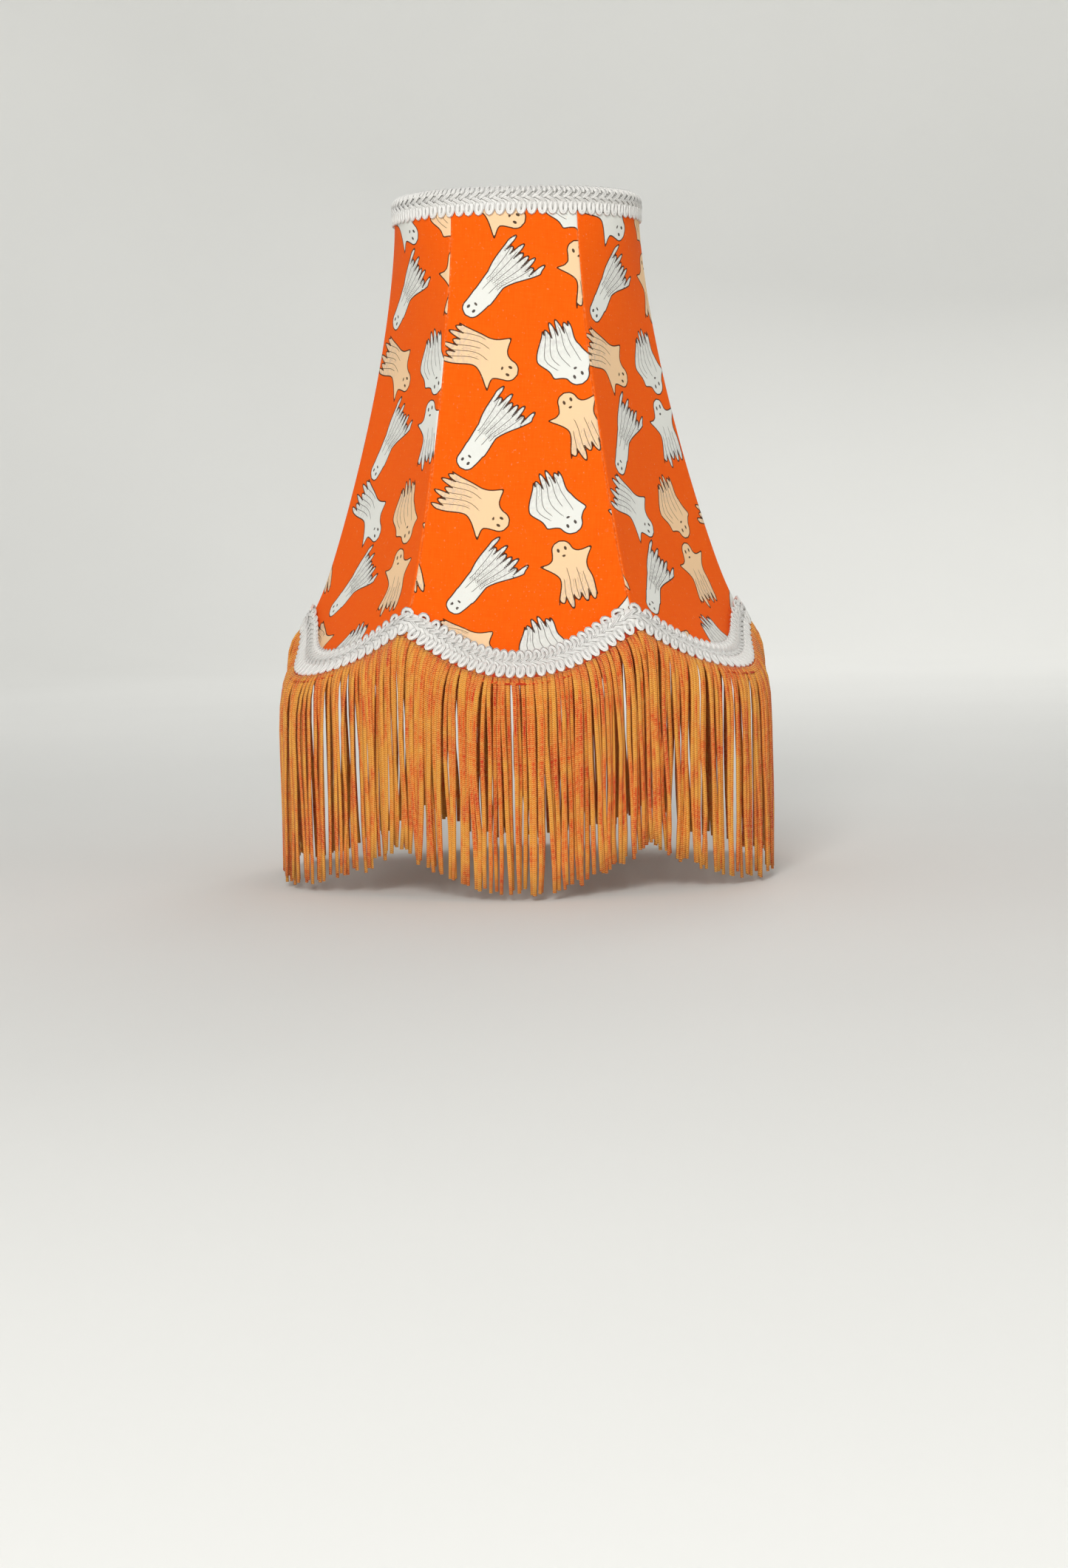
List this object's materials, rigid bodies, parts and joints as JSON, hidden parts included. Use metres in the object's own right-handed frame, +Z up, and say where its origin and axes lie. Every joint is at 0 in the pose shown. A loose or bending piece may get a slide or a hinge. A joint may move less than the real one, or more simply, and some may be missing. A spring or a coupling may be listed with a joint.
{
  "type": "lamp shade",
  "caption": "Six-sided bell lamp shade with scalloped printed cloth panels, braid trim, chainette fringe and a recessed spider fitter.",
  "frame": {"origin": "centre of the fitter washer's hole at the washer's underside, where the shade rests on the harp", "axes": "+Z up along the washer's hole; one panel faces -Y"},
  "size_m": [0.2108, 0.2314, 0.2865],
  "materials": {
    "frame_wire": "satin",
    "washer_brass": "satin",
    "printed_cotton": "matte",
    "lining_cloth": "matte",
    "gimp_braid": "matte",
    "heading_weave": "matte",
    "fringe_cord": "satin"
  },
  "bodies": {
    "root": {"top_ring": "frame_wire", "rib_1": "frame_wire", "rib_2": "frame_wire", "rib_3": "frame_wire", "rib_4": "frame_wire", "rib_5": "frame_wire", "rib_6": "frame_wire", "scallop_wire_1": "frame_wire", "scallop_wire_2": "frame_wire", "scallop_wire_3": "frame_wire", "scallop_wire_4": "frame_wire", "scallop_wire_5": "frame_wire", "scallop_wire_6": "frame_wire", "spider_arm_1": "frame_wire", "spider_arm_2": "frame_wire", "spider_arm_3": "frame_wire", "fitter_washer": "washer_brass", "cover_panel_1": "printed_cotton", "cover_panel_2": "printed_cotton", "cover_panel_3": "printed_cotton", "cover_panel_4": "printed_cotton", "cover_panel_5": "printed_cotton", "cover_panel_6": "printed_cotton", "lining_panel_1": "lining_cloth", "lining_panel_2": "lining_cloth", "lining_panel_3": "lining_cloth", "lining_panel_4": "lining_cloth", "lining_panel_5": "lining_cloth", "lining_panel_6": "lining_cloth", "top_braid": "gimp_braid", "bottom_braid": "gimp_braid", "fringe_heading": "heading_weave", "fringe_1": "fringe_cord", "fringe_2": "fringe_cord", "fringe_3": "fringe_cord", "fringe_4": "fringe_cord", "fringe_5": "fringe_cord", "fringe_6": "fringe_cord"}
  },
  "joints": []
}
